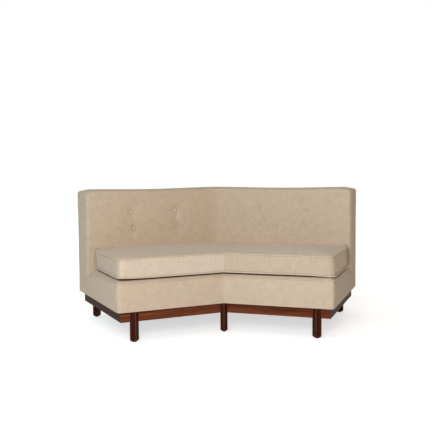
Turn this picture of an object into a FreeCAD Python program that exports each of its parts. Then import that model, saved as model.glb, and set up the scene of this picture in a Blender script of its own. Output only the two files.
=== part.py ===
import FreeCAD, Part
import math
import os
import re

import Sketcher

# Bent armless sofa: two straight wings that meet at a bend, on a low wooden base.
# X runs to the sitter's left, Y from the front to the back, Z up, in millimetres.
# The origin is on the floor, under the middle of the sofa's box.
# Each wing is drawn in its own plan: "along" runs from the bend to the wing's end,
# "depth" from the seat's front face to the back. The wings are mirror images.

Vector = FreeCAD.Vector
doc = FreeCAD.newDocument("bent_sofa")

# Driving sizes, in millimetres and degrees
SIZES = {
    "bend_angle": (22.5, "turn of each wing from a straight sofa"),
    "wing_length": (600, "seat front, from the bend to the wing's end"),
    "overall_depth": (780, "seat front to outside back, square to a wing"),
    "overall_height": (775, "floor to the top of the back"),
    "back_thick": (200, "back, at its end panel"),
    "back_pad_thick": (65, "inside back pad, at its edge"),
    "back_crown": (8, "how far the inside back swells at mid height"),
    "back_round": (20, "top edge of the back, front and ends"),
    "cover_thick": (3, "covering cloth with its wadding"),
    "cover_round": (14, "top edges of the seat box"),
    "corner_round": (8, "upright edges of the covers"),
    "rail_bottom": (105, "floor to the base rails"),
    "rail_height": (55, "base rails, upright"),
    "rail_thick": (38, "base rails, across"),
    "rail_inset": (19, "base rails behind the seat's front and ends"),
    "back_rail_inset": (57, "base back rails ahead of the outside back"),
    "leg_side": (35, "square of the four end legs"),
    "bend_leg_side": (28, "square of the two legs at the bend"),
    "leg_from_end": (92, "end legs' middle, from the wing's end"),
    "foot_bevel": (10, "bevel round the foot of each leg"),
    "block_leg": (28, "short sides of a base corner block"),
    "block_height": (40, "base corner block, upright"),
    "seat_block_leg": (95, "short sides of a seat corner block"),
    "seat_block_height": (50, "seat corner block, upright"),
    "screw_radius": (2.4, "wood screw shank"),
    "screw_head_radius": (4.8, "wood screw head"),
    "screw_head_height": (3, "wood screw head"),
    "screw_bite": (26, "depth a screw goes into its second piece"),
    "deck_height": (166, "seat box, from the base rails to its top"),
    "frame_thick": (34, "boards of the seat and back frames"),
    "frame_height": (100, "seat frame boards, upright"),
    "centre_rail_thick": (36, "rails under the bend, across"),
    "spring_wire": (3.6, "zigzag spring wire"),
    "spring_width": (62, "zigzag spring, across its loops"),
    "spring_first": (70, "spring nearest the bend, along the wing"),
    "spring_spacing": (125, "from spring to spring"),
    "clip_width": (16, "spring clip, along the rail"),
    "clip_foot": (10, "spring clip's foot on the rail"),
    "clip_thick": (1.5, "spring clip plate"),
    "dust_thick": (1, "dust cover cloth"),
    "post_width": (40, "back posts, along the wing"),
    "top_rail_thick": (28, "board along the top of the back"),
    "top_wadding": (9, "wadding between that board and the cover"),
    "tacking_rail_height": (60, "rail that holds the foot of the inside back"),
    "tacking_rail_rise": (61, "from the springs up to that rail"),
    "bottom_rail_height": (70, "rail at the foot of the outside back"),
    "strap_height": (45, "webbing strap, upright"),
    "strap_thick": (1.5, "webbing strap"),
    "strap_lap": (27, "webbing strap over the end post"),
    "button_radius": (10, "covered button"),
    "button_height": (6, "covered button, front to back"),
    "button_top_row": (136, "upper row of buttons, below the top of the back"),
    "button_row_gap": (94, "from the upper row to the lower one"),
    "tuft_radius": (80, "hollow that a button pulls into the pad"),
    "tuft_depth": (12, "how deep a button is pulled in"),
    "twine_radius": (1, "tufting twine"),
    "cushion_thick": (105, "loose cushion at its seams"),
    "cushion_crown": (24, "rise of the cushion's top over its seams"),
    "cushion_side_swell": (3, "swell of the cushion's front and rear"),
    "cushion_draw_in": (3, "how far the front edge is drawn in"),
    "cushion_front_round": (12, "front end corners of the cushion"),
    "cushion_end_round": (90, "rear corner of the cushion, along the wing"),
    "cushion_corner_depth": (200, "rear corner of the cushion, front to back"),
    "tuck_along": (60, "corner tuck of the seat box, along the wing"),
    "tuck_depth": (175, "corner tuck of the seat box, front to back"),
    "tuck_drop": (40, "corner tuck of the seat box, downward"),
    "soft_gap": (0.3, "room between a soft piece and its neighbour"),
}

# Counts of what repeats
SPRINGS_PER_WING = 4
SPRING_RUNS = 14
BUTTON_COLUMNS = 2
LEG_SCREWS = 2

# Shares of a length or a depth
END_STEPS = (0.5, 0.8, 0.95, 1)
CUSHION_STEPS = (0.25, 0.5, 0.75, 1)
END_RAIL_SCREWS = (0.25, 0.75)
CROWN_LOST_AT_END = 0.8
LEAST_TUFT = 0.1

# Poles for the ball that hollows a tuft, tried in turn until its seam cuts clean
BALL_POLES = ((0.3, 1, 0.2), (0, 1, 0), (-0.2, 1, 0.3))

SIDES = {"left": -1, "right": 1}

sheet = doc.addObject("Spreadsheet::Sheet", "Sizes")
for row, (name, (value, note)) in enumerate(SIZES.items(), 1):
    sheet.set(f"A{row}", note)
    sheet.set(f"B{row}", str(value))
    sheet.setAlias(f"B{row}", name)
doc.recompute()

pieces = []


def bind(text):
    """The expression with each size's name pointed at its cell."""
    return re.sub(r"[a-z_]+", lambda word: "Sizes." + word[0] if word[0] in SIZES else word[0], text)


def amount(text):
    """What an expression in the sizes comes to."""
    result = sheet.evalExpression(bind(text))
    return float(getattr(result, "Value", result))


# Lines that several pieces share, as expressions in the sizes
DECK_BOTTOM = "(rail_bottom + rail_height)"
DECK_TOP = f"({DECK_BOTTOM} + deck_height)"
FRAME_TOP = f"({DECK_BOTTOM} + frame_height)"
BACK_FACE = "(overall_depth - back_thick)"
CROWN_FACE = f"({BACK_FACE} - back_crown)"
FRAME_FRONT = f"({BACK_FACE} + back_pad_thick)"
FRAME_REAR = "(overall_depth - cover_thick)"
FRAME_END = "(wing_length - cover_thick)"
SEAT_REAR = f"({FRAME_FRONT} - frame_thick)"
SEAT_FRONT = "(cover_thick + frame_thick)"
RAIL_INNER = "(rail_inset + rail_thick)"
BACK_RAIL_FACE = "(overall_depth - back_rail_inset)"
BACK_RAIL_INNER = f"({BACK_RAIL_FACE} - rail_thick)"
RAIL_END = "(wing_length - rail_inset)"
RAIL_END_INNER = f"({RAIL_END} - rail_thick)"
LEG_ALONG = "(wing_length - leg_from_end)"
LEG_REACH = "(leg_side / sqrt(2))"
BEND_LEG_REACH = "(bend_leg_side / sqrt(2))"
TOP_RAIL_BOTTOM = "(overall_height - cover_thick - top_wadding - top_rail_thick)"
SPRING_REST = f"({FRAME_TOP} + spring_wire + clip_thick)"
PAD_REAR = f"({FRAME_FRONT} - strap_thick - soft_gap)"

# The box of the sofa runs from the seat's rounded front corners to the back of the bend
FRONT_REACH = (
    "((wing_length - corner_round) * sin(bend_angle) - corner_round * cos(bend_angle) + corner_round)"
)
MIDDLE_SHIFT = f"(({FRONT_REACH} - overall_depth / cos(bend_angle)) / 2)"

BEND_SLOPE = math.tan(math.radians(amount("bend_angle")))


def at_bend(depth):
    """Where along the wing the bend's plane lies, at a depth."""
    return f"(-({depth}) * tan(bend_angle))"


def beside_centre(depth, half):
    """Where along the wing the side of a middle board lies, at a depth."""
    return f"((({half}) - ({depth}) * sin(bend_angle)) / cos(bend_angle))"


def from_middle(across, back):
    """A point of the sofa's own plan, across and back from the bend, in a wing's plan."""
    along = f"(({across}) * cos(bend_angle) - ({back}) * sin(bend_angle))"
    depth = f"(({across}) * sin(bend_angle) + ({back}) * cos(bend_angle))"
    return along, depth


def place(piece, side, bottom="0"):
    """Turn a wing's piece to its side and set it on its height; side 0 is the middle."""
    axis = Vector(0, 0, -side if side else 1)
    piece.Placement = FreeCAD.Placement(Vector(0, 0, 0), FreeCAD.Rotation(axis, 1 if side else 0))
    if side:
        piece.setExpression("Placement.Rotation.Angle", bind("bend_angle"))
    piece.setExpression("Placement.Base.y", bind(MIDDLE_SHIFT))
    piece.setExpression("Placement.Base.z", bind(bottom))


def draw(sketch, corners):
    """A closed outline whose corners follow the sizes."""
    points = [Vector(amount(x), amount(y), 0) for x, y in corners]
    count = len(points)
    for index, point in enumerate(points):
        sketch.addGeometry(Part.LineSegment(point, points[(index + 1) % count]), False)
    for index in range(count):
        sketch.addConstraint(Sketcher.Constraint("Coincident", index, 2, (index + 1) % count, 1))
    for index, corner in enumerate(corners):
        for kind, text, value in zip(("DistanceX", "DistanceY"), corner, points[index]):
            number = sketch.addConstraint(Sketcher.Constraint(kind, -1, 1, index, 1, value))
            sketch.setExpression(f"Constraints[{number}]", bind(text))


def board(label, side, corners, bottom, height):
    """An upright board: an outline in a wing's plan, or in the middle's, raised to a height."""
    body = doc.addObject("PartDesign::Body", label)
    body.Label = label
    outline = body.newObject("Sketcher::SketchObject", label + "_outline")
    plan = [plane for plane in body.Origin.OriginFeatures if plane.Role == "XY_Plane"][0]
    outline.AttachmentSupport = [(plan, "")]
    outline.MapMode = "FlatFace"
    draw(outline, [(f"{side or 1} * {x}", y) for x, y in corners])
    pad = body.newObject("PartDesign::Pad", label + "_pad")
    pad.Profile = outline
    pad.setExpression("Length", bind(height))
    place(body, side, bottom)
    pieces.append(body)
    return body


def middle_board(label, half, front, rear, bottom, height):
    """A board on the middle plane, its ends cut to fit between the two wings' boards."""
    slant = f"({half}) * tan(bend_angle)"
    nose, tail = (f"({depth}) / cos(bend_angle)" for depth in (front, rear))
    corners = [
        ("0", f"({nose})"),
        (f"({half})", f"({nose} - {slant})"),
        (f"({half})", f"({tail} - {slant})"),
        ("0", f"({tail})"),
        (f"(-{half})", f"({tail} - {slant})"),
        (f"(-{half})", f"({nose} - {slant})"),
    ]
    return board(label, 0, corners, bottom, height)


def fitted(label, shape, side=0):
    """A piece made in a wing's plan on its right side, mirrored for the left."""
    piece = doc.addObject("Part::Feature", label)
    piece.Label = label
    piece.Shape = shape.mirror(Vector(0, 0, 0), Vector(1, 0, 0)) if side < 0 else shape
    place(piece, side)
    pieces.append(piece)
    return piece


# Base rails

NOTCH_FRONT = f"(rail_inset / cos(bend_angle) - {BEND_LEG_REACH} * tan(bend_angle))"
NOTCH_BACK = f"({BACK_RAIL_FACE} / cos(bend_angle) - {BEND_LEG_REACH} * tan(bend_angle))"


def notched_rail(label, side, face, inner, notch, inward):
    """A rail along the front or back, let out for the legs that stand half in it."""
    deepest = f"({notch} + {inward} * {BEND_LEG_REACH})"
    corners = [
        (at_bend(inner), inner),
        from_middle("0", deepest),
        from_middle(BEND_LEG_REACH, notch),
        (f"({LEG_ALONG} - {LEG_REACH})", face),
        (LEG_ALONG, f"({face} + {inward} * {LEG_REACH})"),
        (f"({LEG_ALONG} + {LEG_REACH})", face),
        (RAIL_END, face),
        (RAIL_END, inner),
    ]
    board(label, side, corners, "rail_bottom", "rail_height")


def rectangle(along_start, along_end, depth_start, depth_end):
    """Corners of a plain board in a wing's plan."""
    return [
        (along_start, depth_start),
        (along_end, depth_start),
        (along_end, depth_end),
        (along_start, depth_end),
    ]


def mitred(depth_start, depth_end, along_end):
    """Corners of a board that is mitred at the bend."""
    return [
        (at_bend(depth_start), depth_start),
        (along_end, depth_start),
        (along_end, depth_end),
        (at_bend(depth_end), depth_end),
    ]


def between_posts(depth_start, depth_end):
    """Corners of a board from the centre post to an end post."""
    return [
        (beside_centre(depth_start, "post_width / 2"), depth_start),
        (f"({FRAME_END} - post_width)", depth_start),
        (f"({FRAME_END} - post_width)", depth_end),
        (beside_centre(depth_end, "post_width / 2"), depth_end),
    ]


for name, side in SIDES.items():
    notched_rail(f"base_front_rail_{name}", side, "rail_inset", RAIL_INNER, NOTCH_FRONT, 1)
    notched_rail(f"base_back_rail_{name}", side, BACK_RAIL_FACE, BACK_RAIL_INNER, NOTCH_BACK, -1)
    end_outline = rectangle(RAIL_END_INNER, RAIL_END, RAIL_INNER, BACK_RAIL_INNER)
    board(f"base_end_rail_{name}", side, end_outline, "rail_bottom", "rail_height")
middle_board(
    "base_centre_rail", "centre_rail_thick / 2", RAIL_INNER, BACK_RAIL_INNER, "rail_bottom", "rail_height"
)

# Legs: square posts turned corner outward, standing half in the rails' notches


def leg(label, side, along, depth, reach):
    """A post from the floor to the top of the rails, bevelled round its foot."""
    corners = [
        (along, f"({depth} - {reach})"),
        (f"({along} + {reach})", depth),
        (along, f"({depth} + {reach})"),
        (f"({along} - {reach})", depth),
    ]
    body = board(label, side, corners, "0", DECK_BOTTOM)
    doc.recompute()
    post = body.Tip
    faces = post.Shape.Faces
    sole = min(range(len(faces)), key=lambda index: faces[index].CenterOfMass.z)
    bevel = body.newObject("PartDesign::Chamfer", label + "_bevel")
    bevel.Base = (post, [f"Face{sole + 1}"])
    bevel.setExpression("Size", bind("foot_bevel"))
    body.Tip = bevel


leg_rows = (("front", "rail_inset", NOTCH_FRONT), ("back", BACK_RAIL_FACE, NOTCH_BACK))
for row_name, depth, notch in leg_rows:
    for name, side in SIDES.items():
        leg(f"leg_{row_name}_{name}", side, LEG_ALONG, depth, LEG_REACH)
    leg(f"leg_{row_name}_centre", 0, "0", notch, BEND_LEG_REACH)

# Seat frame and back frame

for name, side in SIDES.items():
    front_outline = [
        (at_bend("cover_thick"), "cover_thick"),
        (f"({FRAME_END} - corner_round)", "cover_thick"),
        (FRAME_END, "(cover_thick + corner_round)"),
        (FRAME_END, SEAT_FRONT),
        (at_bend(SEAT_FRONT), SEAT_FRONT),
    ]
    board(f"seat_front_rail_{name}", side, front_outline, DECK_BOTTOM, "frame_height")
    board(
        f"seat_back_rail_{name}",
        side,
        mitred(SEAT_REAR, FRAME_FRONT, f"({FRAME_END} - frame_thick)"),
        DECK_BOTTOM,
        "frame_height",
    )
    end_outline = rectangle(f"({FRAME_END} - frame_thick)", FRAME_END, SEAT_FRONT, FRAME_FRONT)
    board(f"seat_end_rail_{name}", side, end_outline, DECK_BOTTOM, "frame_height")
    post_outline = [
        (f"({FRAME_END} - post_width)", FRAME_FRONT),
        (FRAME_END, FRAME_FRONT),
        (FRAME_END, f"({FRAME_REAR} - corner_round)"),
        (f"({FRAME_END} - corner_round)", FRAME_REAR),
        (f"({FRAME_END} - post_width)", FRAME_REAR),
    ]
    board(f"back_post_{name}", side, post_outline, DECK_BOTTOM, f"{TOP_RAIL_BOTTOM} - {DECK_BOTTOM}")
    board(
        f"back_top_rail_{name}",
        side,
        mitred(FRAME_FRONT, f"({FRAME_REAR} - back_round)", f"({FRAME_END} - back_round)"),
        TOP_RAIL_BOTTOM,
        "top_rail_thick",
    )
    board(
        f"back_tacking_rail_{name}",
        side,
        between_posts(FRAME_FRONT, f"({FRAME_FRONT} + frame_thick)"),
        f"{SPRING_REST} + tacking_rail_rise",
        "tacking_rail_height",
    )
    board(
        f"back_bottom_rail_{name}",
        side,
        between_posts(f"({FRAME_REAR} - frame_thick)", FRAME_REAR),
        DECK_BOTTOM,
        "bottom_rail_height",
    )
middle_board(
    "seat_centre_rail", "centre_rail_thick / 2", SEAT_FRONT, SEAT_REAR, DECK_BOTTOM, "frame_height"
)
middle_board(
    "back_centre_post",
    "post_width / 2",
    FRAME_FRONT,
    FRAME_REAR,
    DECK_BOTTOM,
    f"{TOP_RAIL_BOTTOM} - {DECK_BOTTOM}",
)

# Dust cover: a cloth under the seat of each wing, cut round the base's corner blocks

for name, side in SIDES.items():
    half = "centre_rail_thick / 2"
    corners = [
        (beside_centre(RAIL_INNER, half), RAIL_INNER),
        (f"({RAIL_END_INNER} - block_leg)", RAIL_INNER),
        (RAIL_END_INNER, f"({RAIL_INNER} + block_leg)"),
        (RAIL_END_INNER, f"({BACK_RAIL_INNER} - block_leg)"),
        (f"({RAIL_END_INNER} - block_leg)", BACK_RAIL_INNER),
        (beside_centre(BACK_RAIL_INNER, half), BACK_RAIL_INNER),
    ]
    board(f"dust_cover_{name}", side, corners, f"{DECK_BOTTOM} - dust_thick", "dust_thick")

# Groups of like pieces, made in the right wing's plan and mirrored


def slab(points, height):
    """A flat outline raised by a height."""
    return Part.Face(Part.makePolygon(points + points[:1])).extrude(Vector(0, 0, height))


def both_wings(shapes):
    """The shapes of the right wing and their mirror images, each wing turned to its place."""
    turn = amount("bend_angle")
    copies = []
    for side in SIDES.values():
        for shape in shapes:
            copy = shape.mirror(Vector(0, 0, 0), Vector(1, 0, 0)) if side < 0 else shape.copy()
            copy.rotate(Vector(0, 0, 0), Vector(0, 0, 1), -side * turn)
            copies.append(copy)
    return Part.makeCompound(copies)


def corner_blocks(inner_along, depths, short_side, bottom, height):
    """Three-sided blocks in a wing's two inner corners; a depth's sign points into the frame."""
    blocks = []
    for depth, inward in depths:
        corner = Vector(inner_along, depth, bottom)
        ends = [Vector(-short_side, 0, 0), Vector(0, inward * short_side, 0)]
        blocks.append(slab([corner, corner + ends[0], corner + ends[1]], height))
    return blocks


deck_bottom = amount(DECK_BOTTOM)
rail_end_inner = amount(RAIL_END_INNER)
base_corners = [(amount(RAIL_INNER), 1), (amount(BACK_RAIL_INNER), -1)]
seat_corners = [(amount(SEAT_FRONT), 1), (amount(SEAT_REAR), -1)]
block_leg = amount("block_leg")
block_bottom = deck_bottom - amount("block_height")
base_blocks = corner_blocks(rail_end_inner, base_corners, block_leg, block_bottom, amount("block_height"))
fitted("base_corner_blocks", both_wings(base_blocks))
fitted(
    "seat_corner_blocks",
    both_wings(
        corner_blocks(
            amount(f"{FRAME_END} - frame_thick"),
            seat_corners,
            amount("seat_block_leg"),
            deck_bottom,
            amount("seat_block_height"),
        )
    ),
)


def screw(head, direction, length):
    """A wood screw whose head sits on the point given and whose shank runs along the direction."""
    shank = Part.makeCylinder(amount("screw_radius"), length, head, direction)
    head_height = amount("screw_head_height")
    cap = Part.makeCylinder(amount("screw_head_radius"), head_height, head, direction * -1)
    return shank.fuse(cap).removeSplitter()


def leg_screws():
    """Screws from inside each rail into the end legs."""
    length = amount(f"rail_thick - {LEG_REACH} + screw_bite")
    screws = []
    for face, direction in ((amount(RAIL_INNER), -1), (amount(BACK_RAIL_INNER), 1)):
        for step in range(LEG_SCREWS):
            height = amount("rail_bottom") + amount("rail_height") * (step + 0.5) / LEG_SCREWS
            head = Vector(amount(LEG_ALONG), face, height)
            screws.append(screw(head, Vector(0, direction, 0), length))
    return screws


def base_screws():
    """Screws up through the base's front and end rails into the seat frame over them."""
    length = amount("rail_height + screw_bite")
    bottom = amount("rail_bottom")
    over_end = amount(f"({FRAME_END} - frame_thick + {RAIL_END}) / 2")
    over_front = amount(f"({SEAT_FRONT} + rail_inset) / 2")
    spots = [Vector(amount(LEG_ALONG) / 2, over_front, bottom)]
    for share in END_RAIL_SCREWS:
        depth = amount(RAIL_INNER) + share * amount(f"{BACK_RAIL_INNER} - {RAIL_INNER}")
        spots.append(Vector(over_end, depth, bottom))
    return [screw(spot, Vector(0, 0, 1), length) for spot in spots]


fitted("leg_screws", both_wings(leg_screws()))
fitted("base_screws", both_wings(base_screws()))

# Zigzag springs, front rail to back rail, with a clip over each end


def spring(along, front, rear, height):
    """One flat wire: straight runs across, joined by half turns."""
    pitch = (rear - front) / (SPRING_RUNS - 1)
    half_run = (amount("spring_width") - pitch) / 2
    edges = []
    for run in range(SPRING_RUNS):
        depth = front + run * pitch
        heading = 1 if run % 2 == 0 else -1
        start = Vector(along - heading * half_run, depth, height)
        end = Vector(along + heading * half_run, depth, height)
        edges.append(Part.LineSegment(start, end).toShape())
        if run < SPRING_RUNS - 1:
            turn = Vector(along + heading * (half_run + pitch / 2), depth + pitch / 2, height)
            edges.append(Part.Arc(end, turn, end + Vector(0, pitch, 0)).toShape())
    path = Part.Wire(edges)
    first = path.Edges[0].Vertexes[0].Point
    ring = Part.Wire(Part.Circle(first, Vector(1, 0, 0), amount("spring_wire") / 2).toShape())
    return path.makePipeShell([ring], True, False)


def clip(along, depth, outward):
    """A stepped plate: a foot on the rail and a lip over the spring's end run."""
    wire = amount("spring_wire")
    thick = amount("clip_thick")
    near = wire / 2 + amount("soft_gap")
    lip = wire
    steps = [
        (near + thick + amount("clip_foot"), 0),
        (near, 0),
        (near, wire),
        (-lip, wire),
        (-lip, wire + thick),
        (near + thick, wire + thick),
        (near + thick, thick),
        (near + thick + amount("clip_foot"), thick),
    ]
    base = Vector(along - amount("clip_width") / 2, depth, amount(FRAME_TOP))
    points = [base + Vector(0, outward * out, rise) for out, rise in steps]
    return Part.Face(Part.makePolygon(points + points[:1])).extrude(Vector(amount("clip_width"), 0, 0))


spring_front = amount("cover_thick + frame_thick / 2")
spring_rear = amount(f"{FRAME_FRONT} - frame_thick / 2")
first, spacing = amount("spring_first"), amount("spring_spacing")
spring_places = [first + spacing * step for step in range(SPRINGS_PER_WING)]
spring_height = amount(f"{FRAME_TOP} + spring_wire / 2")
springs = [spring(along, spring_front, spring_rear, spring_height) for along in spring_places]
clips = []
for along in spring_places:
    clips.append(clip(along, spring_front, -1))
    clips.append(clip(along, spring_rear, 1))
for name, side in SIDES.items():
    fitted(f"seat_springs_{name}", Part.makeCompound(springs), side)
    fitted(f"spring_clips_{name}", Part.makeCompound(clips), side)

# Buttons, their twine and the straps that hold it

button_face = amount(f"{CROWN_FACE} + tuft_depth")
button_seat = button_face - amount("button_radius * button_radius / (2 * tuft_radius) + soft_gap")
strap_front = amount(f"{FRAME_FRONT} - strap_thick")
upper_row = amount("overall_height - button_top_row")
button_rows = [upper_row, upper_row - amount("button_row_gap")]
panel_start = -amount(BACK_FACE) * BEND_SLOPE
panel_step = (amount("wing_length") - panel_start) / (BUTTON_COLUMNS + 1)
button_spots = [
    Vector(panel_start + panel_step * column, button_face, height)
    for column in range(1, BUTTON_COLUMNS + 1)
    for height in button_rows
]


def button(spot):
    """A covered button: a flat back and a domed face towards the sitter."""
    radius = amount("button_radius")
    rise = amount("button_height")
    back = Vector(spot.x, button_seat, spot.z)
    dome = (radius * radius + rise * rise) / (2 * rise)
    ball = Part.makeSphere(dome, back + Vector(0, dome - rise, 0))
    front_half = Part.makeCylinder(radius * 2, rise * 2, back, Vector(0, -1, 0))
    return ball.common(front_half)


def twine(spot, radius):
    """The cord from a button's back to the strap behind the pad."""
    back = Vector(spot.x, button_seat, spot.z)
    return Part.makeCylinder(radius, strap_front - button_seat, back, Vector(0, 1, 0))


def strap(height):
    """A webbing strap across the front of the back frame, mitred at the bend."""
    end = amount(f"{FRAME_END} - post_width + strap_lap")
    bottom = height - amount("strap_height") / 2
    corners = [
        Vector(-depth * BEND_SLOPE if at_middle else end, depth, bottom)
        for depth, at_middle in (
            (strap_front, True),
            (strap_front, False),
            (amount(FRAME_FRONT), False),
            (amount(FRAME_FRONT), True),
        )
    ]
    return slab(corners, amount("strap_height"))


strap_rows = button_rows + [button_rows[-1] - amount("button_row_gap")]
for name, side in SIDES.items():
    fitted(f"back_buttons_{name}", Part.makeCompound([button(spot) for spot in button_spots]), side)
    fitted(f"back_webbing_{name}", Part.makeCompound([strap(height) for height in strap_rows]), side)
fitted("tufting_twine", both_wings([twine(spot, amount("twine_radius")) for spot in button_spots]))

# Soft forms: sections across a wing, drawn with lines and arcs, lofted from the bend to the end


def section(place_along, corners):
    """A closed section; a corner is (depth, height) and may carry the arc's middle point before it."""
    def point(depth, height):
        return Vector(place_along(depth), depth, height)

    edges = []
    start = point(*corners[-1][-1])
    for corner in corners:
        end = point(*corner[-1])
        if len(corner) == 2:
            edges.append(Part.Arc(start, point(*corner[0]), end).toShape())
        else:
            edges.append(Part.LineSegment(start, end).toShape())
        start = end
    return Part.Wire(edges)


def bend_plane(depth):
    """The bend's plane, as a place along the wing."""
    return -depth * BEND_SLOPE


def square_to(along):
    """A plane square to the wing, at a place along it."""
    return lambda depth: along


def tufted(pad, spot):
    """The pad with a button's hollow and the hole for its twine."""
    ball = amount("tuft_radius")
    depth = amount("tuft_depth")
    backward = Vector(0, 1, 0)
    for pole in BALL_POLES:
        hollowed = pad.cut(Part.makeSphere(ball, spot - backward * ball, Vector(*pole)))
        if pad.Volume - hollowed.Volume > LEAST_TUFT * math.pi * ball * depth * depth:
            break
    else:
        raise RuntimeError("a tuft was not cut into the back pad")
    hole = amount("twine_radius + soft_gap")
    reach = amount("back_thick")
    return hollowed.cut(Part.makeCylinder(hole, reach, spot - backward * depth, backward))


def back_pad():
    """The inside back of a wing: crowned, rolled over at the top, eased at the bend and the end."""
    length = amount(f"{FRAME_END} - soft_gap")
    face = amount(BACK_FACE)
    crown = amount("back_crown")
    roll = amount("back_round")
    rear = amount(PAD_REAR)
    bottom = amount(f"{SPRING_REST} + soft_gap")
    top = amount("overall_height")
    middle = (bottom + top - roll) / 2
    ease = 1 - math.sqrt(0.5)
    stations = [
        (bend_plane, crown / 2, crown / 2, 0),
        (square_to(-face * BEND_SLOPE / 2), 0, crown, 0),
        (square_to(length / 2), 0, crown, 0),
    ]
    for turned in (0, *END_STEPS):
        shrink = 1 - math.sqrt(1 - turned * turned)
        plane = square_to(length - roll + turned * roll)
        stations.append((plane, shrink * roll / 2, crown * (1 - shrink / 2), shrink * roll))
    sections = []
    for plane, set_back, swell, drop in stations:
        front = face + set_back
        high = top - drop
        corners = [
            ((front, bottom),),
            ((front - swell, middle), (front, high - roll)),
            ((front + roll * ease, high - roll * ease), (front + roll, high)),
            ((rear, high),),
            ((rear, bottom),),
        ]
        sections.append(section(plane, corners))
    pad = Part.makeLoft(sections, True, True)
    for spot in button_spots:
        pad = tufted(pad, spot)
    return pad


def cushion_half(inset):
    """One wing of the loose cushion, drawn in by an inset on every side."""
    length = amount("wing_length")
    front = amount("cushion_side_swell")
    rear = amount(f"{CROWN_FACE} - cushion_side_swell - soft_gap - soft_gap")
    bottom = amount(f"{DECK_TOP} + soft_gap")
    top = bottom + amount("cushion_thick")
    middle = (bottom + top) / 2
    swell = amount("cushion_side_swell")
    rise = amount("cushion_crown")
    draw_in = amount("cushion_draw_in")
    turn = amount("cushion_end_round")
    corner_depth = amount("cushion_corner_depth")
    front_round = amount("cushion_front_round")
    stations = [(bend_plane, 0, 0, 0)]
    for share in CUSHION_STEPS:
        waist = math.sin(math.pi * share)
        stations.append((square_to((length - turn) * share), waist * draw_in, 0, 0))
    for turned in END_STEPS:
        shrink = 1 - math.sqrt(1 - turned * turned)
        along = length - turn + turned * turn
        into_corner = max(0, 1 - (length - along) / front_round)
        eased = front_round * (1 - math.sqrt(1 - into_corner * into_corner))
        plane = square_to(along - inset * turned)
        stations.append((plane, eased, shrink * corner_depth, turned * turned))
    sections = []
    for plane, drawn, cut_back, flatten in stations:
        near = front + drawn + inset
        far = rear - cut_back - inset
        low = bottom + inset
        high = top - inset
        crown = rise * (1 - CROWN_LOST_AT_END * flatten)
        corners = [
            ((near, low),),
            ((near - swell, middle), (near, high)),
            (((near + far) / 2, high + crown), (far, high)),
            ((far + swell, middle), (far, low)),
        ]
        sections.append(section(plane, corners))
    return Part.makeLoft(sections, True, True)


cushion_skin = amount("cover_thick")
cushion_cover = cushion_half(0).cut(cushion_half(cushion_skin))
for name, side in SIDES.items():
    fitted(f"cushion_cover_{name}", cushion_cover, side)
core_halves = both_wings([cushion_half(cushion_skin + amount("soft_gap"))]).Solids
fitted("cushion_core", core_halves[0].fuse(core_halves[1]).removeSplitter())

pad_shape = back_pad()
for name, side in SIDES.items():
    fitted(f"back_pad_{name}", pad_shape, side)


# Covers: shells of one cloth thickness, open where they meet a neighbour


def wing_block(along_end, depth_start, depth_end, bottom, top):
    """A block of a wing from the bend's plane to a place along it."""
    corners = [
        Vector(-depth_start * BEND_SLOPE, depth_start, bottom),
        Vector(along_end, depth_start, bottom),
        Vector(along_end, depth_end, bottom),
        Vector(-depth_end * BEND_SLOPE, depth_end, bottom),
    ]
    return slab(corners, top - bottom)


def rounded(block, upright, edges_top, upright_round, top_round):
    """The block with its upright corner and then its top edges rounded over."""
    def on_edge(edge, spot):
        return Part.Vertex(spot).distToShape(edge)[0] < 1e-6

    chosen = [edge for edge in block.Edges if on_edge(edge, upright)]
    block = block.makeFillet(upright_round, chosen)
    chosen = [edge for edge in block.Edges if any(on_edge(edge, spot) for spot in edges_top)]
    return block.makeFillet(top_round, chosen)


def seat_block(inset, rear):
    """The seat box of a wing, drawn in by an inset, with its rear end corner tucked down."""
    end = amount("wing_length") - inset
    top = amount(DECK_TOP) - inset
    block = wing_block(end, inset, rear, deck_bottom, top)
    middle_depth = rear / 2
    block = rounded(
        block,
        Vector(end, inset, (deck_bottom + top) / 2),
        [Vector(end / 2, inset, top), Vector(end, middle_depth, top)],
        amount("corner_round") - inset,
        amount("cover_round") - inset,
    )
    return block.cut(tuck(inset))


def tuck(inset):
    """The wedge that the tucked corner takes off the seat box, let down by an inset."""
    end = amount("wing_length")
    top = amount(DECK_TOP)
    back = amount(BACK_FACE)
    across = Vector(end - amount("tuck_along"), back, top)
    ahead = Vector(end, back - amount("tuck_depth"), top)
    below = Vector(end, back, top - amount("tuck_drop"))
    normal = (ahead - across).cross(below - across)
    normal.normalize()
    if normal.z < 0:
        normal = normal * -1
    middle = (across + ahead + below) * (1 / 3)
    size = amount("overall_depth")
    plane = Part.makePlane(size, size)
    plane.Placement = FreeCAD.Placement(middle, FreeCAD.Rotation(Vector(0, 0, 1), normal))
    plane.translate(plane.Placement.Rotation.multVec(Vector(-size / 2, -size / 2, 0)) - normal * inset)
    return plane.extrude(normal * size)


def seat_cover():
    """The cloth over the seat box of a wing: front, end and top."""
    cloth = amount("cover_thick")
    gap = amount("soft_gap")
    rear = amount(BACK_FACE) - gap
    shell = seat_block(0, rear).cut(seat_block(cloth, rear + cloth))
    behind_cushion = amount(CROWN_FACE) - gap
    above = amount(DECK_TOP) + cloth
    return shell.cut(wing_block(amount(FRAME_END), behind_cushion, rear + cloth, deck_bottom, above))


def deck_pad():
    """The padding between the springs and the cover."""
    room = amount("cover_thick + soft_gap")
    block = seat_block(room, amount(CROWN_FACE) - amount("soft_gap"))
    springs_top = amount(SPRING_REST) + amount("soft_gap")
    below = wing_block(amount("wing_length"), 0, amount(BACK_FACE), 0, springs_top)
    return block.cut(below)


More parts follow.
